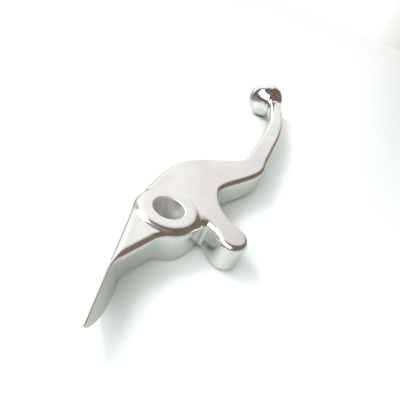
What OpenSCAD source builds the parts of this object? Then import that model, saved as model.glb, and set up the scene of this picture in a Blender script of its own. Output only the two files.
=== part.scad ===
// Brake lever: one forged and polished aluminium piece that swings on a pivot bolt.
// The origin is on the pivot's axis, half way through the plate. +Z runs along the
// pivot, and +X runs from the pivot to the ball at the tip.

/* [Pivot boss] */
// Diameter of the pivot bore
bore_d = 8; // [6:0.25:10]
// Chamfer at each mouth of the bore
bore_chamfer = 0.2; // [0.1:0.1:1]
// Outer diameter of the boss round the bore
boss_d = 17; // [15:0.5:20]
// Height of the boss's turned face above the plate
boss_rise = 0.8; // [0.3:0.1:2]
// Height of the boss's turned face below the plate
boss_drop = 0.3; // [0.2:0.1:2]
// Radius on the boss's upper rim
boss_rim_r = 1.8; // [0.5:0.1:2.2]
// Radius on the boss's under rim
boss_under_r = 0.7; // [0.2:0.1:1.5]

/* [Plate] */
// Thickness of the plate at the pivot
plate_t = 9; // [7:0.5:12]
// Radius round the plate's edges
edge_r = 1.6; // [0.6:0.1:1.8]
// Width of the plate beside the boss
root_w = 17.6; // [15:0.2:21]

/* [Dogleg and blade] */
// Distance from the pivot to the start of the dogleg
dogleg_start = 16; // [12:0.5:22]
// Length of the dogleg along the lever
dogleg_run = 32; // [26:0.5:40]
// How far the dogleg carries the blade forwards
dogleg_drop = 12.4; // [6:0.1:18]
// Width of the blade after the dogleg
blade_w = 6.9; // [6:0.1:11]
// Width of the blade before the ball
blade_tip_w = 5.6; // [5:0.1:7.2]
// Thickness of the blade before the ball
blade_tip_t = 7.6; // [6:0.1:9]
// Radius on the blade's edges before the ball
blade_tip_r = 2.2; // [1:0.1:2.4]
// Distance from the pivot to the start of the tip's curl
curl_start = 74; // [65:1:95]
// Radius of the tip's curl, along the middle of the blade
curl_r = 170; // [90:1:220]

/* [Ball] */
// Distance from the pivot to the ball's centre, along the lever
reach = 126.7; // [110:0.1:135]
// Diameter of the ball
ball_d = 17.5; // [16:0.1:20]
// How far the ball's centre stands off the blade's middle line, on the hollow side
ball_side = 4.1; // [0:0.1:4.3]
// Length of the neck that widens into the ball
neck_len = 7; // [3:0.5:10]
// How much the neck widens the blade on each side
neck_flare = 0.5; // [0.2:0.1:0.7]

/* [Plunger finger] */
// Distance from the pivot forwards to the centre of the finger's tip
finger_reach = 17.3; // [16:0.1:21]
// Distance from the pivot towards the blade to the centre of the finger's tip
finger_offset = 3.6; // [2:0.1:5]
// Width of the finger
finger_w = 8; // [6.5:0.1:10]
// Angle between the finger and the line across the lever
finger_lean = 27; // [18:1:32]
// Radius of the scallop between the boss and the finger
scallop_r = 2.6; // [2:0.1:5]
// Radius of the notch between the finger and the blade
notch_r = 5.5; // [3:0.5:8]

/* [Switch tail] */
// Angle by which the tail falls from the lever's line
tail_angle = 15.6; // [8:0.2:22]
// Distance from the pivot to the end of the tail
tail_len = 35.6; // [33:0.1:45]
// Angle between the two long sides of the tail's wedge
wedge_angle = 33.8; // [28:0.2:42]
// Distance from the pivot to the root of the tongue
tongue_start = 16.8; // [14:0.2:20]
// Thickness of the tongue along its under side
tongue_t = 3.3; // [2.6:0.1:4.5]
// Thickness of the tongue along its upper crest
crest_t = 1.1; // [0.8:0.1:1.6]
// Angle by which the tongue's under side rises from its root
tongue_rise = 11; // [6:0.5:13]
// Length over which the under side sweeps up to the tongue's end
nose_run = 10.6; // [6:0.2:12]
// Height of the tongue's blunt end
nose_t = 0.9; // [0.6:0.1:2]

/* [Hidden] */

// A side that would touch the boss or the plate at a tangent lies this far inside it
bite = 0.15;
// Length by which a cutter runs past the face it cuts
overcut = 1;
// Steps in each rounded corner of a section
corner_steps = 5;
// Distance between the sections of the blade, and of the tail
section_gap = 2.4;
// Steps along the neck
neck_steps = 5;
// Steps along the tongue's nose
nose_steps = 9;
// Largest share of a section's side that one rounded corner may take
corner_share = 0.42;
// Steps along the finger
finger_steps = 16;
// Facets of a round shape where it is drawn as a mesh
round_fn = 72;

half_t = plate_t / 2;
boss_r = boss_d / 2;
bore_r = bore_d / 2;
ball_r = ball_d / 2;
boss_top = half_t + boss_rise;
boss_bottom = -half_t - boss_drop;

// The neck ends where its widest section is just inside the ball
tip_angle = asin((reach - curl_start) / curl_r);
neck_depth = sqrt(pow(ball_r, 2) - pow(blade_tip_t / 2 + neck_flare, 2));
neck_end = reach - neck_depth * cos(tip_angle);
neck_start = neck_end - neck_len;

// The tail's outer side lies just inside the boss's tangent
tail_side = boss_r - bite;
nose_start = tail_len - nose_run;
nose_lift = half_t - nose_t - tongue_under(tail_len);
face_slope = (tongue_t - crest_t) / plate_t;

// The finger's bar lies just inside its round tip, and ends well inside the plate
bar_r = finger_w / 2 - bite;
finger_len = (finger_reach - boss_r / 3) / cos(finger_lean);

// Where the scallop's arc starts, so that it just reaches the boss, and how far it runs
scallop_at = on_finger(0, bar_r + scallop_r);
scallop_lift = scallop_at.x * sin(finger_lean) + scallop_at.y * cos(finger_lean);
scallop_gap = boss_r - bite + scallop_r;
scallop_rise = sqrt(pow(scallop_lift, 2) + pow(scallop_gap, 2) - pow(norm(scallop_at), 2));
scallop_s = -scallop_lift - scallop_rise;
scallop_run = scallop_r * scallop_rise / scallop_gap;

// Where the notch's arc starts, so that it just reaches the plate, and how far it runs
notch_y = -root_w / 2 + bite - notch_r;
notch_s = (notch_y - on_finger(0, -bar_r - notch_r).y) / cos(finger_lean);
notch_run = notch_r * cos(finger_lean);

// Value that goes smoothly from 0 to 1 as t goes from 0 to 1
function ease(t) =
    let (c = min(max(t, 0), 1))
    c * c * (3 - 2 * c);

// Value that goes evenly from a to b as x goes from x0 to x1
function between(a, b, x, x0, x1) = a + (b - a) * min(max((x - x0) / (x1 - x0), 0), 1);

// Depth of a round of radius r at a distance of d past its start
function round_depth(r, d) = r - sqrt(pow(r, 2) - pow(min(max(d, 0), r), 2));

// Arc of radius r that replaces a corner and touches both of its sides
function corner_arc(before, corner, after, r) =
    let (
        to_before = (before - corner) / norm(before - corner),
        to_after = (after - corner) / norm(after - corner),
        middle = (to_before + to_after) / norm(to_before + to_after),
        half = acos(to_before * to_after) / 2,
        centre = corner + middle * r / sin(half),
        start = corner + to_before * r / tan(half) - centre,
        turn = (180 - 2 * half) / corner_steps
    )
    [for (i = [0 : corner_steps])
        let (c = cos(turn * i), s = sin(turn * i))
        centre + [start.x * c - start.y * s, start.x * s + start.y * c]];

// Section with rounded corners, given anticlockwise, each with its own radius
function section(corners, radii) =
    [for (i = [0 : 3])
        each corner_arc(corners[(i + 3) % 4], corners[i], corners[(i + 1) % 4], radii[i])];

// Skin over a row of sections that all have the same number of points
module loft(rings) {
    count = len(rings[0]);
    last = (len(rings) - 1) * count;
    sides = [for (i = [0 : len(rings) - 2], j = [0 : count - 1])
        let (k = (j + 1) % count)
        [i * count + j, (i + 1) * count + j, (i + 1) * count + k, i * count + k]];
    polyhedron(
        points = [for (ring = rings) each ring],
        faces = concat(
            [for (f = sides) each [[f[0], f[1], f[2]], [f[0], f[2], f[3]]]],
            [for (j = [1 : count - 2]) [0, j, j + 1]],
            [for (j = [1 : count - 2]) [last, last + j + 1, last + j]]
        )
    );
}

// Middle line of the lever: straight, down the dogleg, straight, and round the curl
function blade_y(x) =
    round_depth(curl_r, x - curl_start) - dogleg_drop * ease((x - dogleg_start) / dogleg_run);

// Direction of the middle line, in degrees from +X
function blade_heading(x) =
    let (h = 0.01)
    atan2(blade_y(x + h) - blade_y(x - h), 2 * h);

// Extra size that the neck gives the blade on each side
function flare(x) = neck_flare * pow(between(0, 1, x, neck_start, neck_end), 2);

// Value of something that the blade's grip changes evenly, from the dogleg to the neck
function along_grip(a, b, x) = between(a, b, x, dogleg_start + dogleg_run, neck_start);

function blade_width(x) =
    let (
        pivot_w = 2 * (boss_r - bite),
        root = pivot_w + (root_w - pivot_w) * ease(x / boss_r),
        grip = along_grip(blade_w, blade_tip_w, x)
    )
    root + (grip - root) * ease((x - dogleg_start) / dogleg_run) + 2 * flare(x);

// Section of the blade at x, square to its middle line
function blade_ring(x) =
    let (
        w = blade_width(x) / 2,
        t = along_grip(plate_t, blade_tip_t, x) / 2 + flare(x),
        r = along_grip(edge_r, blade_tip_r, x),
        a = blade_heading(x)
    )
    [for (p = section([[-w, -t], [w, -t], [w, t], [-w, t]], [r, r, r, r]))
        [x - p.x * sin(a), blade_y(x) + p.x * cos(a), p.y]];

module blade() {
    even = [for (x = [0 : section_gap : neck_start - section_gap / 2]) x];
    neck = [for (i = [0 : neck_steps]) neck_start + neck_len * i / neck_steps];
    loft([for (x = concat(even, neck, [reach])) blade_ring(x)]);
}

// Height of the tongue's straight under side at a distance of u from the pivot
function tongue_under(u) = -half_t + max(u - tongue_start, 0) * tan(tongue_rise);

// Height of the tail's under side at u, with the sweep up to the tongue's end
function tail_low(u) = tongue_under(u) + nose_lift * pow(max(u - nose_start, 0) / nose_run, 2);

// Inner side of the wedge at u, and the tongue's sloping face at height z
function wedge_side(u) = tail_side - tongue_t - (tongue_start - u) * tan(wedge_angle);
function tongue_face(z) = tail_side - crest_t - face_slope * (half_t - z);

// Section of the tail at a distance of u from the pivot, square to its outer side
function tail_ring(u) =
    let (
        low = tail_low(u),
        in_low = u < tongue_start ? wedge_side(u) : tongue_face(low),
        in_high = min(wedge_side(u), tongue_face(half_t)),
        side = corner_share * (half_t - low),
        r_low = min(edge_r, corner_share * (tail_side - in_low), side),
        r_high = min(edge_r, corner_share * (tail_side - in_high), side),
        corners = [[in_low, low], [tail_side, low], [tail_side, half_t], [in_high, half_t]],
        c = cos(tail_angle),
        s = sin(tail_angle)
    )
    [for (p = section(corners, [r_low, r_low, r_high, r_high]))
        [-u * c - p.x * s, -u * s + p.x * c, p.y]];

// The wedge and its tongue, from the tip to the pivot
module tail() {
    nose = [for (i = [0 : nose_steps]) tail_len - nose_run * i / nose_steps];
    crest_steps = ceil((nose_start - tongue_start) / section_gap);
    crest_step = (nose_start - tongue_start) / crest_steps;
    crest = [for (i = [1 : crest_steps]) nose_start - crest_step * i];
    wedge = [for (u = [tongue_start - section_gap : -section_gap : section_gap]) u];
    loft([for (u = concat(nose, crest, wedge, [0])) tail_ring(u)]);
}

// Place in the plan of a point on the finger, s from the tip's centre along the finger
// and v to the left of its middle line
function on_finger(s, v) =
    [finger_offset + s * sin(finger_lean) - v * cos(finger_lean),
        -finger_reach + s * cos(finger_lean) + v * sin(finger_lean)];

// Half the finger's width at s on its plunger side, where the scallop runs into the boss
function scallop_side(s) =
    let (past = min(max(s - scallop_s, 0), scallop_run))
    bar_r + scallop_r - sqrt(pow(scallop_r, 2) - pow(past, 2));

// Half the finger's width at s on its blade side, where the notch runs into the plate
function notch_side(s) =
    let (past = min(max(s - notch_s, 0), notch_run))
    bar_r + notch_r - sqrt(pow(notch_r, 2) - pow(past, 2));

function finger_ring(s) =
    [for (p = section([
        [-notch_side(s), -half_t],
        [scallop_side(s), -half_t],
        [scallop_side(s), half_t],
        [-notch_side(s), half_t]
    ], [edge_r, edge_r, edge_r, edge_r]))
        let (q = on_finger(s, p.x))
        [q.x, q.y, p.y]];

// Blunt arm that reaches forwards from the plate, with a round tip
module finger() {
    tip = on_finger(0, 0);
    translate([tip.x, tip.y, -half_t])
        turned_disc(finger_w / 2, plate_t, edge_r, edge_r);
    loft([for (i = [0 : finger_steps]) finger_ring(finger_len * i / finger_steps)]);
}

// Disc of radius r and height h that stands on z = 0, with its under and upper rims rounded
module turned_disc(r, h, under_r, upper_r) {
    rotate_extrude($fn = round_fn) {
        square([r - under_r, h / 2]);
        translate([0, h / 2])
            square([r - upper_r, h / 2]);
        translate([0, under_r])
            square([r, h - under_r - upper_r]);
        translate([r - under_r, under_r])
            circle(r = under_r, $fn = round_fn);
        translate([r - upper_r, h - upper_r])
            circle(r = upper_r, $fn = round_fn);
    }
}

module boss() {
    translate([0, 0, boss_bottom])
        turned_disc(boss_r, boss_top - boss_bottom, boss_under_r, boss_rim_r);
}

// Through hole for the pivot bolt, chamfered at both mouths
module bore() {
    mouth = bore_chamfer + overcut;
    translate([0, 0, boss_bottom - overcut])
        cylinder(d = bore_d, h = boss_top - boss_bottom + 2 * overcut, $fn = round_fn);
    translate([0, 0, boss_top - bore_chamfer])
        cylinder(r1 = bore_r, r2 = bore_r + mouth, h = mouth, $fn = round_fn);
    translate([0, 0, boss_bottom + bore_chamfer - mouth])
        cylinder(r1 = bore_r + mouth, r2 = bore_r, h = mouth, $fn = round_fn);
}

module ball() {
    translate([reach, blade_y(reach) + ball_side, 0])
        sphere(r = ball_r, $fn = round_fn);
}

module lever() {
    color("gainsboro")
        difference() {
            union() {
                boss();
                blade();
                ball();
                tail();
                finger();
            }
            bore();
        }
}

lever();
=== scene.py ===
"""A motorbike's brake lever: one forged and polished aluminium piece on a pale glossy table.

The lever's shape is worked out in Geometry Nodes, as the distance from each point of a fine grid to
its surface, from the sizes in LeverSizes. Lengths are in metres, and angles are in radians. The
origin is on the pivot's axis, half way through the plate. +Z runs along the pivot, and +X runs from
the pivot to the ball.
"""

import math

import bpy
from bpy.props import FloatProperty, FloatVectorProperty, PointerProperty
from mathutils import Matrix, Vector


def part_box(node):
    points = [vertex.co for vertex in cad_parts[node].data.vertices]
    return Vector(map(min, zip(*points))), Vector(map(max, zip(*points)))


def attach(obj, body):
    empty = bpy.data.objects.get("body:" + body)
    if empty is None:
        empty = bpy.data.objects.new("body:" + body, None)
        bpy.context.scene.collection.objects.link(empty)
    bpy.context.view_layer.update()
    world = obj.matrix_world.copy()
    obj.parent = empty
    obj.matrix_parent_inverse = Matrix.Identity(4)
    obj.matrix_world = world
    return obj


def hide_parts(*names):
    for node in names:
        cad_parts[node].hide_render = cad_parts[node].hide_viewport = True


bl_info = {
    "name": "Brake lever",
    "version": (1, 0, 0),
    "blender": (4, 5, 0),
    "location": "View3D > Sidebar > Brake lever",
    "description": "Builds a polished brake lever and its studio",
    "category": "Add Mesh",
}

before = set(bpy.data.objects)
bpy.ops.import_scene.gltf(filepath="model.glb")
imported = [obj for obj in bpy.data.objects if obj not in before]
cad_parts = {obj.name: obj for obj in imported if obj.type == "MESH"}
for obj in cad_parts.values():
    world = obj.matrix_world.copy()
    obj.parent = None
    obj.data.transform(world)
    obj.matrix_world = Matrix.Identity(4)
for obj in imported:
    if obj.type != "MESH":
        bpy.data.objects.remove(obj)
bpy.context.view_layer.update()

MM = 0.001

# Drawing the surface: the grid's step, how often the nearest place on the blade's line is sought,
# how often the mesh is moved onto the surface, and the upright part of a normal that counts as flat
GRID_STEP = 0.0003
FOOT_STEPS = 3
SETTLE_STEPS = 3
FLAT_FROM = 0.9
FLAT_MARK = "Flat Face"

# Shares: of the finger's reach in its bar, of the crest's thickness in its edge's radius, and of
# the grip where its edges start to round and over which they do
BAR_SHARE = 0.8
CREST_SHARE = 0.45
TIP_FROM = 0.375
TIP_SPAN = 0.5

# Places on the lever between which the finish changes
TONGUE_FADE = (-0.026, -0.019)
BALL_FADE = (0.108, 0.114)
BORE_FADE = (0.0042, 0.0044)

# How fine each pattern is along X, Y and Z, and the values between which it fades in
TEAR_SCALE = (700.0, 700.0, 260.0)
TEAR_SPAN = (0.4, 0.62)
SMEAR_SCALE = (60.0, 110.0, 110.0)
SMEAR_SPAN = (0.35, 0.7)
LINE_SCALE = (300.0, 9000.0, 9000.0)
LINE_TURN = (0.0, 0.0, 0.12)
CLUTTER_SCALE = (5.0, 5.0, 5.0)
CLUTTER_SPAN = (0.35, 0.65)

# Places along Y beyond which the table's mirrored colour turns into a painted dark reflection, which the
# camera never sees on the table itself
DARK_REFLECTION_SPAN = (0.014, 0.03)

# Height of the table at the pivot, and how far it falls for each metre along X and Y
TABLE_HEIGHT = -0.005437
TABLE_FALL_X = 0.02619
TABLE_FALL_Y = 0.04897
TABLE_HALF = 1.2

# Key light
KEY_SIZE = 0.16
KEY_PLACE = (0.0, 0.38, 0.42)
KEY_AIM = (0.03, 0.0, 0.0)


def length(name, text, value):
    """A size of the lever that a user may change."""
    return FloatProperty(name=name, description=text, default=value, min=0.0, unit="LENGTH", precision=4)


def angle(name, text, degrees):
    """An angle of the lever that a user may change."""
    return FloatProperty(name=name, description=text, default=math.radians(degrees), subtype="ANGLE")


def amount(name, text, value, low=0.0, high=1.0):
    """A plain number that a user may change."""
    return FloatProperty(name=name, description=text, default=value, min=low, max=high)


def colour(name, text, value):
    """A colour that a user may change."""
    return FloatVectorProperty(name=name, description=text, default=value, min=0.0, max=1.0,
                               size=3, subtype="COLOR")


class LeverSizes(bpy.types.PropertyGroup):
    """The lever's sizes, which are the inputs of its node tree."""

    bore_d: length("Bore", "Diameter of the pivot bore", 0.008)
    bore_chamfer: length("Bore chamfer", "Chamfer at each mouth of the bore", 0.0002)
    boss_d: length("Boss", "Outer diameter of the boss round the bore", 0.017)
    boss_rise: length("Boss rise", "Height of the boss's face above the plate", 0.0008)
    boss_drop: length("Boss drop", "Height of the boss's face below the plate", 0.0003)
    boss_rim_r: length("Boss rim radius", "Radius on the boss's upper rim", 0.0021)
    boss_under_r: length("Boss under radius", "Radius on the boss's under rim", 0.0007)
    overlap: length("Overlap", "How far the plate and the tail run into the boss", 0.0003)
    boss_fillet: length("Boss fillet", "Radius where the plate meets the boss", 0.0003)
    plate_t: length("Plate thickness", "Thickness of the plate at the pivot", 0.009)
    edge_r: length("Edge radius", "Radius round the plate's edges", 0.0016)
    root_w: length("Root width", "Width of the plate beside the boss", 0.0176)
    dogleg_start: length("Dogleg start", "Distance from the pivot to the start of the dogleg", 0.0184)
    dogleg_run: length("Dogleg run", "Length of the dogleg along the lever", 0.0273)
    dogleg_drop: length("Dogleg drop", "How far the dogleg carries the blade forwards", 0.0126)
    taper_start: length("Taper start", "Distance from the pivot to where the plate starts to taper", 0.0105)
    taper_run: length("Taper run", "Length over which the plate tapers to the blade", 0.0425)
    blade_w: length("Blade width", "Width of the blade after the dogleg", 0.0072)
    blade_tip_w: length("Blade tip width", "Width of the blade before the ball", 0.006)
    blade_tip_t: length("Blade tip thickness", "Thickness of the blade before the ball", 0.0076)
    blade_tip_r: length("Blade tip radius", "Radius on the blade's edges before the ball", 0.0026)
    curl_start: length("Curl start", "Distance from the pivot to the start of the tip's curl", 0.072)
    curl_r: length("Curl radius", "Radius of the tip's curl", 0.18)
    reach: length("Reach", "Distance from the pivot to the ball's centre along the lever", 0.1267)
    ball_d: length("Ball", "Diameter of the ball", 0.0175)
    ball_side: length("Ball offset", "How far the ball's centre stands off the blade's middle line", 0.00413)
    neck_r: length("Neck radius", "Radius where the blade runs into the ball", 0.0014)
    finger_reach: length("Finger reach", "Distance forwards to the centre of the finger's tip", 0.01705)
    finger_offset: length("Finger offset", "Distance towards the blade to the finger's tip", 0.003)
    finger_w: length("Finger width", "Width of the finger's round tip", 0.008)
    finger_waist: length("Finger waist", "Width of the finger's bar", 0.0073)
    finger_shift: length("Finger shift", "Distance from the tip's centre to the bar's middle line", 0.001)
    waist_r: length("Waist radius", "Radius between the finger's tip and its bar", 0.0012)
    finger_lean: angle("Finger lean", "Angle between the finger and the line across the lever", 27)
    scallop_r: length("Scallop radius", "Radius between the web and the finger", 0.0022)
    web: length("Web", "How far the web beside the finger stands proud of the boss", 0.0011)
    web_run: length("Web run", "Length over which the web grows out of the boss", 0.0055)
    notch_r: length("Notch radius", "Radius between the finger and the blade", 0.0055)
    notch_start: length("Notch start", "Distance from the finger's tip to where the notch may start", 0.0045)
    tail_angle: angle("Tail angle", "Angle by which the tail falls from the lever's line", 15.6)
    tail_inset: length("Tail inset", "How far the tail's straight side lies inside the boss", 0.00015)
    tail_len: length("Tail length", "Distance from the pivot to the end of the tail", 0.0356)
    wedge_angle: angle("Wedge angle", "Angle between the two long sides of the wedge", 33.8)
    tongue_start: length("Tongue start", "Distance from the pivot to the tongue's root", 0.0168)
    tongue_t: length("Tongue thickness", "Thickness of the tongue along its under side", 0.0033)
    crest_t: length("Crest thickness", "Thickness of the tongue along its crest", 0.0006)
    crest_fade: length("Crest fade", "Length over which the tail's edges sharpen into the crest", 0.007)
    tongue_blend: length("Tongue blend", "Radius where the wedge runs into the tongue", 0.0012)
    wedge_blend: length("Wedge blend", "Radius where the wedge runs into the boss", 0.002)
    tongue_rise: angle("Tongue rise", "Angle by which the tongue's under side rises", 11)
    nose_run: length("Nose run", "Length over which the under side sweeps up to the end", 0.0106)
    nose_t: length("Nose height", "Height of the tongue's blunt end", 0.0009)
    nose_r: length("Nose radius", "Radius at the tongue's end", 0.0007)
    skin: length("Skin", "Distance by which the polished surface lies inside the casting", 0.00002)


class LeverFinish(bpy.types.PropertyGroup):
    """The polished aluminium's colours and how smooth it is."""

    metal: colour("Metal", "Colour of the polished aluminium", (0.86, 0.855, 0.845))
    dull: colour("Dull metal", "Colour where the polish is smeared", (0.72, 0.7, 0.675))
    mirror: amount("Mirror", "Roughness of the ball and the rounded edges", 0.09)
    satin: amount("Satin", "Roughness of the flat faces", 0.3)
    smear: amount("Smears", "How much the smears dull the metal's colour", 0.45)
    smear_rough: amount("Smear roughness", "Roughness that the smears add", 0.06)
    cast_rough: amount("Lever roughness", "Roughness added everywhere but on the ball", 0.1)
    tail_rough: amount("Tail roughness", "Roughness added on the tail's tongue", 0.16)
    bore_rough: amount("Bore roughness", "Roughness added on the bore's wall", 0.25)
    torn_rough: amount("Torn bore roughness", "Roughness added where the drill tore the bore's wall", 0.45)
    scratch: amount("Scratches", "Strength of the fine polishing marks", 0.12)
    scratch_depth: length("Scratch depth", "Depth of the fine polishing marks", 0.00001)


class StudioLook(bpy.types.PropertyGroup):
    """The table, the light, the room that the metal mirrors, and the camera."""

    table: colour("Table", "Colour of the table", (0.9, 0.905, 0.895))
    # Painted reflection: the table as the metal mirrors it, darker and greener than the table that the
    # camera sees
    table_mirrored: colour("Mirrored table", "Colour of the table where the metal mirrors it",
                           (0.69, 0.72, 0.7))
    # Painted dark reflection: the colour that the metal mirrors from the table beyond the span along Y, much
    # darker than the table itself
    painted_dark_reflection: colour("Painted dark reflection", "Colour mirrored from the table's far side", (0.16, 0.19, 0.17))
    table_gloss: amount("Table roughness", "Roughness of the table's gloss", 0.28)
    key: FloatProperty(name="Key light", description="Power of the light on the left", default=1.25,
                       min=0.0, unit="POWER")
    room: colour("Room", "Colour of the dim room on the right", (0.28, 0.23, 0.185))
    room_dark: colour("Room's dark", "Colour of the room's darkest parts", (0.09, 0.07, 0.055))
    bounce: colour("Bounce", "Colour of the light that the room sends back to the table", (0.38, 0.42, 0.4))
    wall: colour("Wall", "Colour of the bright wall beyond the ball", (1.0, 0.99, 0.975))
    wall_light: amount("Wall light", "Strength of the bright wall", 1.12, 0.0, 10.0)
    wall_from: angle("Wall right", "Direction of the wall's right end, from +X", -10)
    wall_to: angle("Wall left", "Direction of the wall's left end, from +X", 72)
    wall_foot: angle("Wall foot", "Height of the wall's foot, which is under the table", -57)
    wall_top: angle("Wall top", "Height of the wall's top above the horizon", 67)
    wall_soft: angle("Wall softness", "Width of the wall's soft edge", 17.2)
    window: colour("Window", "Colour of the window behind the camera", (0.95, 1.0, 0.985))
    window_light: amount("Window light", "Strength of the window", 3.8, 0.0, 10.0)
    window_from: angle("Window right", "Direction of the window's right end, from -X", -78)
    window_to: angle("Window left", "Direction of the window's left end, from -X", 22)
    window_sill: angle("Window sill", "Height of the window's sill above the horizon", 24)
    window_top: angle("Window top", "Height of the window's top above the horizon", 56)
    window_soft: angle("Window softness", "Width of the window's soft edge", 11.5)
    camera_x: FloatProperty(name="Camera X", description="Place of the camera", default=-0.0675,
                            unit="LENGTH", precision=4)
    camera_y: FloatProperty(name="Camera Y", description="Place of the camera", default=-0.0148,
                            unit="LENGTH", precision=4)
    camera_z: FloatProperty(name="Camera Z", description="Place of the camera", default=0.0596,
                            unit="LENGTH", precision=4)
    camera_pitch: angle("Camera pitch", "Turn of the camera about X", 52.29)
    camera_roll: angle("Camera roll", "Turn of the camera about Y", -19.59)
    camera_heading: angle("Camera heading", "Turn of the camera about Z", -68.13)
    lens: FloatProperty(name="Lens", description="Focal length of the camera", default=32.4,
                        min=1.0, unit="CAMERA")


class Field:
    """A value in a node tree. Arithmetic on it adds the nodes that work it out."""

    def __init__(self, tree, source):
        self.tree = tree
        self.source = source

    def node(self, operation, *values):
        made = self.tree.nodes.new("ShaderNodeMath")
        made.operation = operation
        for socket, value in zip(made.inputs, values):
            if isinstance(value, Field):
                self.tree.links.new(value.source, socket)
            else:
                socket.default_value = value
        return Field(self.tree, made.outputs[0])

    def __add__(self, other):
        return self.node("ADD", self, other)

    def __radd__(self, other):
        return self.node("ADD", other, self)

    def __sub__(self, other):
        return self.node("SUBTRACT", self, other)

    def __rsub__(self, other):
        return self.node("SUBTRACT", other, self)

    def __mul__(self, other):
        return self.node("MULTIPLY", self, other)

    def __rmul__(self, other):
        return self.node("MULTIPLY", other, self)

    def __truediv__(self, other):
        return self.node("DIVIDE", self, other)

    def __neg__(self):
        return self.node("MULTIPLY", self, -1.0)

    def __abs__(self):
        return self.node("ABSOLUTE", self)

    def root(self):
        return self.node("SQRT", self)


def low(a, b):
    """The smaller of two values, which joins two distances."""
    return a.node("MINIMUM", a, b)


def high(a, b):
    """The larger of two values, which keeps what two distances share."""
    return a.node("MAXIMUM", a, b)


def clamp(a, least, most):
    return low(high(a, least), most)


def diagonal(a, b):
    """Length of the diagonal whose sides are a and b."""
    return (a * a + b * b).root()


def steepness(slope):
    """Length of the slanted side that goes along by 1 and rises by the slope."""
    return (slope * slope + 1.0).root()


def join_round(a, b, r):
    """Distance to two shapes joined by a fillet of radius r."""
    return high(r, low(a, b)) - diagonal(high(r - a, 0.0), high(r - b, 0.0))


def share_round(a, b, r):
    """Distance to what two shapes share, with an edge rounded to radius r."""
    return low(-r, high(a, b)) + diagonal(high(a + r, 0.0), high(b + r, 0.0))


def ease(t):
    """Value that goes smoothly from 0 to 1 as t goes from 0 to 1."""
    c = clamp(t, 0.0, 1.0)
    return c * c * (3.0 - 2.0 * c)


def sine(a):
    return a.node("SINE", a)


def cosine(a):
    return a.node("COSINE", a)


def tangent(a):
    return a.node("TANGENT", a)


def blade_line(s, x):
    """Place across the lever of the blade's middle line at x, and its slope there."""
    along = clamp(x - s.curl_start, 0.0, s.curl_r)
    rest = (s.curl_r * s.curl_r - along * along).root()
    step = clamp((x - s.dogleg_start) / s.dogleg_run, 0.0, 1.0)
    y = s.curl_r - rest - s.dogleg_drop * ease(step)
    slope = along / rest - s.dogleg_drop * (6.0 * step * (1.0 - step)) / s.dogleg_run
    return y, slope


def blade_plan(s, x, y):
    """Distance to the blade's outline, and how far along the grip from 0 to 1 the point lies."""
    foot = x
    for _ in range(FOOT_STEPS):
        line, slope = blade_line(s, foot)
        foot = foot + ((x - foot) + (y - line) * slope) / (1.0 + slope * slope)
    line, slope = blade_line(s, foot)
    across = ((y - line) - slope * (x - foot)) / steepness(slope)
    pivot_w = s.boss_d - s.overlap
    root = pivot_w + (s.root_w - pivot_w) * ease(foot / (s.boss_d / 2.0))
    grip_start = s.taper_start + s.taper_run
    grip = clamp((foot - grip_start) / (s.reach - grip_start), 0.0, 1.0)
    tip = s.blade_w + (s.blade_tip_w - s.blade_w) * grip
    width = root + (tip - root) * ease((foot - s.taper_start) / s.taper_run)
    return high(high(abs(across) - width / 2.0, -x), x - s.reach), grip


def finger_plan(s, x, y):
    """Distance to the finger's outline."""
    turn_x = sine(s.finger_lean)
    turn_y = cosine(s.finger_lean)
    from_x = x - s.finger_offset
    from_y = y + s.finger_reach
    tip = diagonal(from_x, from_y) - s.finger_w / 2.0
    bar_x = from_x - s.finger_shift
    along = clamp(bar_x * turn_x + from_y * turn_y, 0.0, s.finger_reach * BAR_SHARE)
    bar = diagonal(bar_x - along * turn_x, from_y - along * turn_y) - s.finger_waist / 2.0
    return join_round(tip, bar, s.waist_r)


def tail_body(s, x, y, z):
    """Distance to the wedge and its tongue."""
    half_t = s.plate_t / 2.0
    turn_c = cosine(s.tail_angle)
    turn_s = sine(s.tail_angle)
    u = -(x * turn_c + y * turn_s)
    v = y * turn_c - x * turn_s
    side = s.boss_d / 2.0 - s.tail_inset
    root = side - s.tongue_t
    wedge = (root - (s.tongue_start - u) * tangent(s.wedge_angle) - v) * cosine(s.wedge_angle)
    lean = (s.tongue_t - s.crest_t) / s.plate_t
    tongue = side - s.crest_t - lean * (half_t - z) - v
    front = join_round(wedge, tongue, s.tongue_blend)
    boss = diagonal(x, y) - (s.boss_d / 2.0 - s.overlap)
    plan = high(high(join_round(front, boss, s.wedge_blend), v - side), -u)
    sweep = high(u - s.tail_len + s.nose_run, 0.0) / s.nose_run
    rise = tangent(s.tongue_rise)
    lift = s.plate_t - s.nose_t - (s.tail_len - s.tongue_start) * rise
    floor = high(u - s.tongue_start, 0.0) * rise + lift * sweep * sweep - half_t
    slope = rise + 2.0 * lift * sweep / s.nose_run
    under = (floor - z) / steepness(slope)
    outline = share_round(share_round(under, u - s.tail_len, s.nose_r), z - half_t, s.nose_r)
    thin = s.crest_t * CREST_SHARE
    edge = s.edge_r + (thin - s.edge_r) * ease((u - s.tongue_start) / s.crest_fade)
    return share_round(plan, outline, edge)


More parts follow.
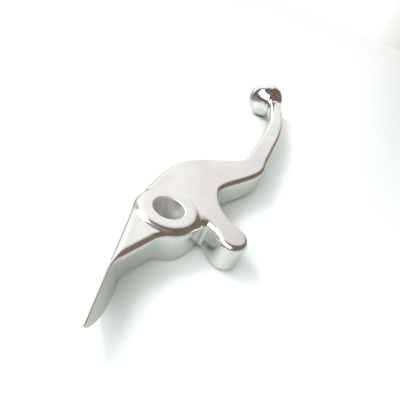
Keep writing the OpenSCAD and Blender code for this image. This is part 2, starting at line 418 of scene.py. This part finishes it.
def plate_body(s, x, y, z):
    """Distance to the plate, which is the root, the finger and the blade up to the ball."""
    half_t = s.plate_t / 2.0
    radius = diagonal(x, y)
    boss_r = s.boss_d / 2.0
    blade, grip = blade_plan(s, x, y)
    finger = finger_plan(s, x, y)
    web = radius - boss_r - s.web * (ease(x / s.web_run + 0.5) * ease(-y / s.web_run))
    scallop = low(join_round(finger, web, s.scallop_r), radius - (boss_r - s.overlap))
    notch = join_round(finger, high(blade, s.finger_offset + s.notch_start - x), s.notch_r)
    plan = low(low(scallop, notch), blade)
    thick = half_t + (s.blade_tip_t / 2.0 - half_t) * grip
    edge = s.edge_r + (s.blade_tip_r - s.edge_r) * ease((grip - TIP_FROM) / TIP_SPAN)
    return share_round(plan, abs(z) - thick, edge)


def boss_faces(s, z):
    """Distances above the boss's upper face and below its under face."""
    half_t = s.plate_t / 2.0
    return z - (half_t + s.boss_rise), -(half_t + s.boss_drop) - z


def boss_body(s, x, y, z):
    """Distance to the boss round the bore."""
    above, below = boss_faces(s, z)
    rim = share_round(diagonal(x, y) - s.boss_d / 2.0, above, s.boss_rim_r)
    return share_round(rim, below, s.boss_under_r)


def ball_body(s, x, y, z):
    """Distance to the ball at the blade's end."""
    end_y, _ = blade_line(s, s.reach)
    return diagonal(diagonal(x - s.reach, y - (end_y + s.ball_side)), z) - s.ball_d / 2.0


def bore_space(s, x, y, z):
    """Distance into the space of the bore and the chamfers at its mouths."""
    above, below = boss_faces(s, z)
    bore = s.bore_d / 2.0 - diagonal(x, y)
    mouth = bore + s.bore_chamfer
    return high(bore, high((mouth + above) * math.sqrt(0.5), (mouth + below) * math.sqrt(0.5)))


def lever_body(s, x, y, z):
    """Distance from a point to the lever's surface, less than 0 inside it. Lengths are in mm."""
    body = low(plate_body(s, x, y, z), tail_body(s, x, y, z))
    body = join_round(body, boss_body(s, x, y, z), s.boss_fillet)
    body = join_round(body, ball_body(s, x, y, z), s.neck_r)
    return high(body, bore_space(s, x, y, z)) + s.skin


class TreeSizes:
    """The tree's inputs by key, with lengths in mm and angles in radians."""

    def __init__(self, tree, source):
        for key, prop in size_props():
            value = Field(tree, source.outputs[prop.name])
            setattr(self, key, value * (1.0 if prop.unit == "ROTATION" else 1.0 / MM))


def add_node(tree, kind, **inputs):
    """Adds a node, and sets or links its inputs by name."""
    node = tree.nodes.new(kind)
    for name, value in inputs.items():
        socket = node.inputs[name]
        if isinstance(value, bpy.types.NodeSocket):
            tree.links.new(value, socket)
        else:
            socket.default_value = value
    return node


def size_props():
    """Each size's key and its property, in the order of the class."""
    props = LeverSizes.bl_rna.properties
    return [(key, props[key]) for key in LeverSizes.__annotations__]


def add_size_sockets(tree):
    """Gives a tree one input for each size."""
    for _, prop in size_props():
        socket = tree.interface.new_socket(prop.name, in_out="INPUT", socket_type="NodeSocketFloat")
        socket.subtype = "ANGLE" if prop.unit == "ROTATION" else "DISTANCE"
        socket.default_value = prop.default


def distance_group():
    """Node group that gives the distance from the point being looked at to the lever."""
    tree = bpy.data.node_groups.new("Lever Distance", "GeometryNodeTree")
    add_size_sockets(tree)
    tree.interface.new_socket("Distance", in_out="OUTPUT", socket_type="NodeSocketFloat")
    source = tree.nodes.new("NodeGroupInput")
    sizes = TreeSizes(tree, source)
    place = tree.nodes.new("GeometryNodeInputPosition")
    split = tree.nodes.new("ShaderNodeSeparateXYZ")
    tree.links.new(place.outputs[0], split.inputs[0])
    x, y, z = (Field(tree, out) * (1.0 / MM) for out in split.outputs)
    gap = lever_body(sizes, x, y, z) * MM
    sink = tree.nodes.new("NodeGroupOutput")
    tree.links.new(gap.source, sink.inputs[0])
    return tree


def place_distance(tree, source, distance):
    """Puts the distance group in a tree, with the tree's own sizes, and returns its distance."""
    made = tree.nodes.new("GeometryNodeGroup")
    made.node_tree = distance
    for _, prop in size_props():
        tree.links.new(source.outputs[prop.name], made.inputs[prop.name])
    return Field(tree, made.outputs[0])


def draw_grid(tree, source, gap):
    """Mesh drawn through a grid of points, where the distance goes through 0."""
    nodes, links = tree.nodes, tree.links
    cube = nodes.new("GeometryNodeVolumeCube")
    links.new((-gap).source, cube.inputs["Density"])
    links.new(source.outputs["Low Corner"], cube.inputs["Min"])
    links.new(source.outputs["High Corner"], cube.inputs["Max"])
    cube.inputs["Background"].default_value = -1.0
    span = nodes.new("ShaderNodeVectorMath")
    span.operation = "SUBTRACT"
    links.new(source.outputs["High Corner"], span.inputs[0])
    links.new(source.outputs["Low Corner"], span.inputs[1])
    split = nodes.new("ShaderNodeSeparateXYZ")
    links.new(span.outputs[0], split.inputs[0])
    step = Field(tree, source.outputs["Grid Step"])
    for out, name in zip(split.outputs, ("Resolution X", "Resolution Y", "Resolution Z")):
        count = Field(tree, out) / step
        links.new(count.node("CEIL", count).source, cube.inputs[name])
    mesh = nodes.new("GeometryNodeVolumeToMesh")
    mesh.resolution_mode = "GRID"
    mesh.inputs["Threshold"].default_value = 0.0
    mesh.inputs["Adaptivity"].default_value = 0.0
    links.new(cube.outputs[0], mesh.inputs["Volume"])
    return mesh.outputs[0]


def settle(tree, mesh, gap):
    """Moves the mesh's points along their normals by the distance that they lie off the surface."""
    push = tree.nodes.new("ShaderNodeVectorMath")
    push.operation = "SCALE"
    tree.links.new(tree.nodes.new("GeometryNodeInputNormal").outputs[0], push.inputs[0])
    tree.links.new((-gap).source, push.inputs["Scale"])
    for _ in range(SETTLE_STEPS):
        move = add_node(tree, "GeometryNodeSetPosition", Geometry=mesh, Offset=push.outputs[0])
        mesh = move.outputs[0]
    return mesh


def mark_flat_faces(tree, mesh):
    """Stores on the mesh how flat it lies, from 0 to 1, for its finish."""
    parts = tree.nodes.new("ShaderNodeSeparateXYZ")
    tree.links.new(tree.nodes.new("GeometryNodeInputNormal").outputs[0], parts.inputs[0])
    upright = abs(Field(tree, parts.outputs["Z"]))
    flat = ease((upright - FLAT_FROM) / (1.0 - FLAT_FROM))
    return add_node(tree, "GeometryNodeStoreNamedAttribute", Geometry=mesh, Name=FLAT_MARK,
                    Value=flat.source).outputs[0]


def body_tree(distance):
    """Node tree that draws the lever's surface and gives it its finish."""
    tree = bpy.data.node_groups.new("Lever Body", "GeometryNodeTree")
    tree.is_modifier = True
    tree.interface.new_socket("Geometry", in_out="INPUT", socket_type="NodeSocketGeometry")
    add_size_sockets(tree)
    for name in ("Low Corner", "High Corner"):
        tree.interface.new_socket(name, in_out="INPUT", socket_type="NodeSocketVector")
    tree.interface.new_socket("Grid Step", in_out="INPUT", socket_type="NodeSocketFloat")
    tree.interface.new_socket("Finish", in_out="INPUT", socket_type="NodeSocketMaterial")
    tree.interface.new_socket("Geometry", in_out="OUTPUT", socket_type="NodeSocketGeometry")
    source = tree.nodes.new("NodeGroupInput")
    gap = place_distance(tree, source, distance)
    mesh = settle(tree, draw_grid(tree, source, gap), gap)
    smooth = add_node(tree, "GeometryNodeSetShadeSmooth", Geometry=mark_flat_faces(tree, mesh))
    real = add_node(tree, "GeometryNodeRealizeInstances", Geometry=smooth.outputs[0])
    paint = add_node(tree, "GeometryNodeSetMaterial", Geometry=real.outputs[0],
                     Material=source.outputs["Finish"])
    sink = tree.nodes.new("NodeGroupOutput")
    tree.links.new(paint.outputs[0], sink.inputs[0])
    return tree


def build_lever(finish):
    """Runs the lever's tree and returns its result as a plain mesh object."""
    settings = bpy.context.scene.lever_sizes
    tree = body_tree(distance_group())
    seed = bpy.data.objects.new("Lever Seed", bpy.data.meshes.new("Lever Seed"))
    bpy.context.scene.collection.objects.link(seed)
    modifier = seed.modifiers.new("Lever Body", "NODES")
    modifier.node_group = tree
    values = {prop.name: getattr(settings, key) for key, prop in size_props()}
    lowest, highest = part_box("lever")
    values["Low Corner"] = lowest - Vector((MM, MM, MM))
    values["High Corner"] = highest + Vector((MM, MM, MM))
    values["Grid Step"] = GRID_STEP
    values["Finish"] = finish
    for socket in tree.interface.items_tree:
        if socket.in_out == "INPUT" and socket.name in values:
            modifier[socket.identifier] = values[socket.name]
    graph = bpy.context.evaluated_depsgraph_get()
    mesh = bpy.data.meshes.new_from_object(seed.evaluated_get(graph), depsgraph=graph)
    bpy.data.objects.remove(seed)
    lever = bpy.data.objects.new("brake_lever", mesh)
    bpy.context.scene.collection.objects.link(lever)
    return lever


def noise(tree, place, scale, turn=(0.0, 0.0, 0.0), detail=2.0, roughness=0.5, distortion=0.0):
    """Smooth random values, turned and stretched so that they run along one way."""
    stretch = add_node(tree, "ShaderNodeMapping", Vector=place, Scale=scale, Rotation=turn)
    node = add_node(tree, "ShaderNodeTexNoise", Vector=stretch.outputs[0], Scale=1.0, Detail=detail,
                    Roughness=roughness, Distortion=distortion)
    return node.outputs["Fac"]


def remap(tree, value, low_in, high_in, low_out, high_out):
    """Value moved evenly from one span to another, and kept in it."""
    node = add_node(tree, "ShaderNodeMapRange", Value=value)
    for name, given in (("From Min", low_in), ("From Max", high_in), ("To Min", low_out),
                        ("To Max", high_out)):
        node.inputs[name].default_value = given
    return node.outputs["Result"]


def blend_colours(tree, first, second, factor):
    """Mix of two colours, each a plain colour or a socket."""
    node = tree.nodes.new("ShaderNodeMix")
    node.data_type = "RGBA"
    tree.links.new(factor, node.inputs["Factor"])
    for name, given in (("A", first), ("B", second)):
        if isinstance(given, bpy.types.NodeSocket):
            tree.links.new(given, node.inputs[name])
        else:
            node.inputs[name].default_value = (*given, 1.0)
    return node.outputs["Result"]


def polish_group():
    """Node group with the marks of polishing: smears over the surface and fine lines along it."""
    tree = bpy.data.node_groups.new("Polishing Marks", "ShaderNodeTree")
    tree.interface.new_socket("Place", in_out="INPUT", socket_type="NodeSocketVector")
    for name in ("Smears", "Lines"):
        tree.interface.new_socket(name, in_out="OUTPUT", socket_type="NodeSocketFloat")
    source = tree.nodes.new("NodeGroupInput")
    sink = tree.nodes.new("NodeGroupOutput")
    place = source.outputs["Place"]
    smears = noise(tree, place, SMEAR_SCALE, detail=4.0, roughness=0.55, distortion=0.6)
    tree.links.new(remap(tree, smears, *SMEAR_SPAN, 0.0, 1.0), sink.inputs["Smears"])
    lines = noise(tree, place, LINE_SCALE, turn=LINE_TURN)
    tree.links.new(lines, sink.inputs["Lines"])
    return tree


def fade(tree, value, whole, none):
    """Mask that falls from 1 to 0 as the value goes from one place to another."""
    return Field(tree, remap(tree, value, whole, none, 1.0, 0.0))


def polished_metal():
    """Material of the polished aluminium."""
    look = bpy.context.scene.lever_finish
    material = bpy.data.materials.new("Polished Aluminium")
    material.use_nodes = True
    tree = material.node_tree
    shader = tree.nodes["Principled BSDF"]
    shader.inputs["Metallic"].default_value = 1.0
    place = tree.nodes.new("ShaderNodeTexCoord").outputs["Object"]
    marks = tree.nodes.new("ShaderNodeGroup")
    marks.node_tree = polish_group()
    tree.links.new(place, marks.inputs["Place"])
    face = tree.nodes.new("ShaderNodeAttribute")
    face.attribute_name = FLAT_MARK
    flat = Field(tree, face.outputs["Fac"])
    smears = Field(tree, marks.outputs["Smears"])
    along, across, _ = add_node(tree, "ShaderNodeSeparateXYZ", Vector=place).outputs
    radius = diagonal(Field(tree, along), Field(tree, across))
    bore = fade(tree, radius.source, *BORE_FADE)
    tears = noise(tree, place, TEAR_SCALE, detail=3.0, roughness=0.6)
    torn = bore * Field(tree, remap(tree, tears, *TEAR_SPAN, 0.0, 1.0))
    rough = look.mirror + (look.satin - look.mirror) * flat + smears * look.smear_rough
    rough = rough + fade(tree, along, *TONGUE_FADE) * look.tail_rough
    rough = rough + fade(tree, along, *BALL_FADE) * look.cast_rough
    rough = rough + bore * look.bore_rough + torn * look.torn_rough
    tree.links.new(rough.source, shader.inputs["Roughness"])
    tint = blend_colours(tree, look.metal, look.dull, (smears * look.smear).source)
    tree.links.new(tint, shader.inputs["Base Color"])
    bump = add_node(tree, "ShaderNodeBump", Strength=look.scratch, Distance=look.scratch_depth,
                    Height=marks.outputs["Lines"])
    tree.links.new(bump.outputs[0], shader.inputs["Normal"])
    return material


def table_finish():
    """Material of the glossy pale table."""
    look = bpy.context.scene.studio_look
    material = bpy.data.materials.new("Pale Table")
    material.use_nodes = True
    tree = material.node_tree
    shader = tree.nodes["Principled BSDF"]
    place = tree.nodes.new("ShaderNodeTexCoord").outputs["Object"]
    split = add_node(tree, "ShaderNodeSeparateXYZ", Vector=place)
    # Painted reflection: glossy rays see the table darker and greener than the camera does, and painted dark
    # beyond the span along Y
    far = remap(tree, split.outputs[1], *DARK_REFLECTION_SPAN, 0.0, 1.0)
    mirrored = blend_colours(tree, look.table_mirrored, look.painted_dark_reflection, far)
    glossy = tree.nodes.new("ShaderNodeLightPath").outputs["Is Glossy Ray"]
    tree.links.new(blend_colours(tree, look.table, mirrored, glossy), shader.inputs["Base Color"])
    shader.inputs["Roughness"].default_value = look.table_gloss
    return material


class LEVER_OT_add(bpy.types.Operator):
    """Adds the polished lever in place of the frame's plain one"""

    bl_idname = "lever.add"
    bl_label = "Add the lever"

    def execute(self, context):
        lever = build_lever(polished_metal())
        if not lever.data.polygons:
            raise RuntimeError("the lever's tree drew no surface")
        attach(lever, "root")
        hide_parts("lever")
        return {"FINISHED"}


def key_light():
    """Square area light on the camera's left, which throws the lever's shadow to the right."""
    data = bpy.data.lights.new("Key Light", "AREA")
    data.energy = bpy.context.scene.studio_look.key
    data.shape = "SQUARE"
    data.size = KEY_SIZE
    light = bpy.data.objects.new("Key Light", data)
    light.location = KEY_PLACE
    light.rotation_euler = (Vector(KEY_AIM) - Vector(KEY_PLACE)).to_track_quat("-Z", "Y").to_euler()
    bpy.context.scene.collection.objects.link(light)
    return light


def patch(turn, height, left, right, foot, top, soft):
    """Mask of a soft-edged patch of the room, given by its angles."""
    across = ease((turn - left) / soft + 0.5) * ease((right - turn) / soft + 0.5)
    return across * ease((height - foot) / soft + 0.5) * ease((top - height) / soft + 0.5)


def studio_room():
    """World with a bright wall beyond the ball, a window behind the camera, and a dim warm room."""
    look = bpy.context.scene.studio_look
    world = bpy.data.worlds.new("Room")
    world.use_nodes = True
    tree = world.node_tree
    background = tree.nodes["Background"]
    place = tree.nodes.new("ShaderNodeTexCoord").outputs["Generated"]
    split = tree.nodes.new("ShaderNodeSeparateXYZ")
    tree.links.new(place, split.inputs[0])
    x, y, z = (Field(tree, out) for out in split.outputs)
    height = z.node("ARCSINE", z)
    from_ball = y.node("ARCTAN2", y, x)
    wall = patch(from_ball, height, look.wall_from, look.wall_to, look.wall_foot, look.wall_top,
                 look.wall_soft)
    from_tail = (-y).node("ARCTAN2", -y, -x)
    window = patch(from_tail, height, look.window_from, look.window_to, look.window_sill,
                   look.window_top, look.window_soft)
    clutter = remap(tree, noise(tree, place, CLUTTER_SCALE), *CLUTTER_SPAN, 0.0, 1.0)
    room = blend_colours(tree, look.room, look.room_dark, clutter)
    diffuse = tree.nodes.new("ShaderNodeLightPath").outputs["Is Diffuse Ray"]
    last = blend_colours(tree, room, look.bounce, diffuse)
    for mask, tint, strength in ((wall, look.wall, look.wall_light),
                                 (window, look.window, look.window_light)):
        last = blend_colours(tree, last, [part * strength for part in tint], mask.source)
    tree.links.new(last, background.inputs["Color"])
    return world


def table_top():
    """Flat table that the ball and the finger rest on, tilted in the lever's own frame."""
    mesh = bpy.data.meshes.new("Table")
    corners = [(x, y, TABLE_HEIGHT - TABLE_FALL_X * x - TABLE_FALL_Y * y)
               for x, y in ((-TABLE_HALF, -TABLE_HALF), (TABLE_HALF, -TABLE_HALF),
                            (TABLE_HALF, TABLE_HALF), (-TABLE_HALF, TABLE_HALF))]
    mesh.from_pydata(corners, [], [(0, 1, 2, 3)])
    mesh.materials.append(table_finish())
    table = bpy.data.objects.new("Table", mesh)
    bpy.context.scene.collection.objects.link(table)
    return table


def photo_camera():
    """Camera at the photograph's place and angle."""
    look = bpy.context.scene.studio_look
    data = bpy.data.cameras.new("Camera")
    data.lens = look.lens
    data.clip_start = MM
    camera = bpy.data.objects.new("Camera", data)
    camera.location = (look.camera_x, look.camera_y, look.camera_z)
    camera.rotation_euler = (look.camera_pitch, look.camera_roll, look.camera_heading)
    bpy.context.scene.collection.objects.link(camera)
    return camera


class LEVER_OT_studio(bpy.types.Operator):
    """Adds the table, the light, the room and the camera"""

    bl_idname = "lever.studio"
    bl_label = "Add the studio"

    def execute(self, context):
        table_top()
        key_light()
        context.scene.world = studio_room()
        context.scene.view_settings.view_transform = "Standard"
        context.scene.camera = photo_camera()
        return {"FINISHED"}


class LEVER_PT_panel(bpy.types.Panel):
    """Buttons for the lever and its studio"""

    bl_label = "Brake lever"
    bl_space_type = "VIEW_3D"
    bl_region_type = "UI"
    bl_category = "Brake lever"

    def draw(self, context):
        self.layout.operator(LEVER_OT_add.bl_idname)
        self.layout.operator(LEVER_OT_studio.bl_idname)
        for group in (context.scene.lever_sizes, context.scene.lever_finish, context.scene.studio_look):
            box = self.layout.box()
            for key in group.__annotations__:
                box.prop(group, key)


CLASSES = (LeverSizes, LeverFinish, StudioLook, LEVER_OT_add, LEVER_OT_studio, LEVER_PT_panel)


def register():
    for one in CLASSES:
        bpy.utils.register_class(one)
    bpy.types.Scene.lever_sizes = PointerProperty(type=LeverSizes)
    bpy.types.Scene.lever_finish = PointerProperty(type=LeverFinish)
    bpy.types.Scene.studio_look = PointerProperty(type=StudioLook)


def unregister():
    del bpy.types.Scene.studio_look
    del bpy.types.Scene.lever_finish
    del bpy.types.Scene.lever_sizes
    for one in reversed(CLASSES):
        bpy.utils.unregister_class(one)


def main():
    """Adds the lever and the studio."""
    register()
    bpy.ops.lever.add()
    bpy.ops.lever.studio()


if __name__ == "__main__":
    main()
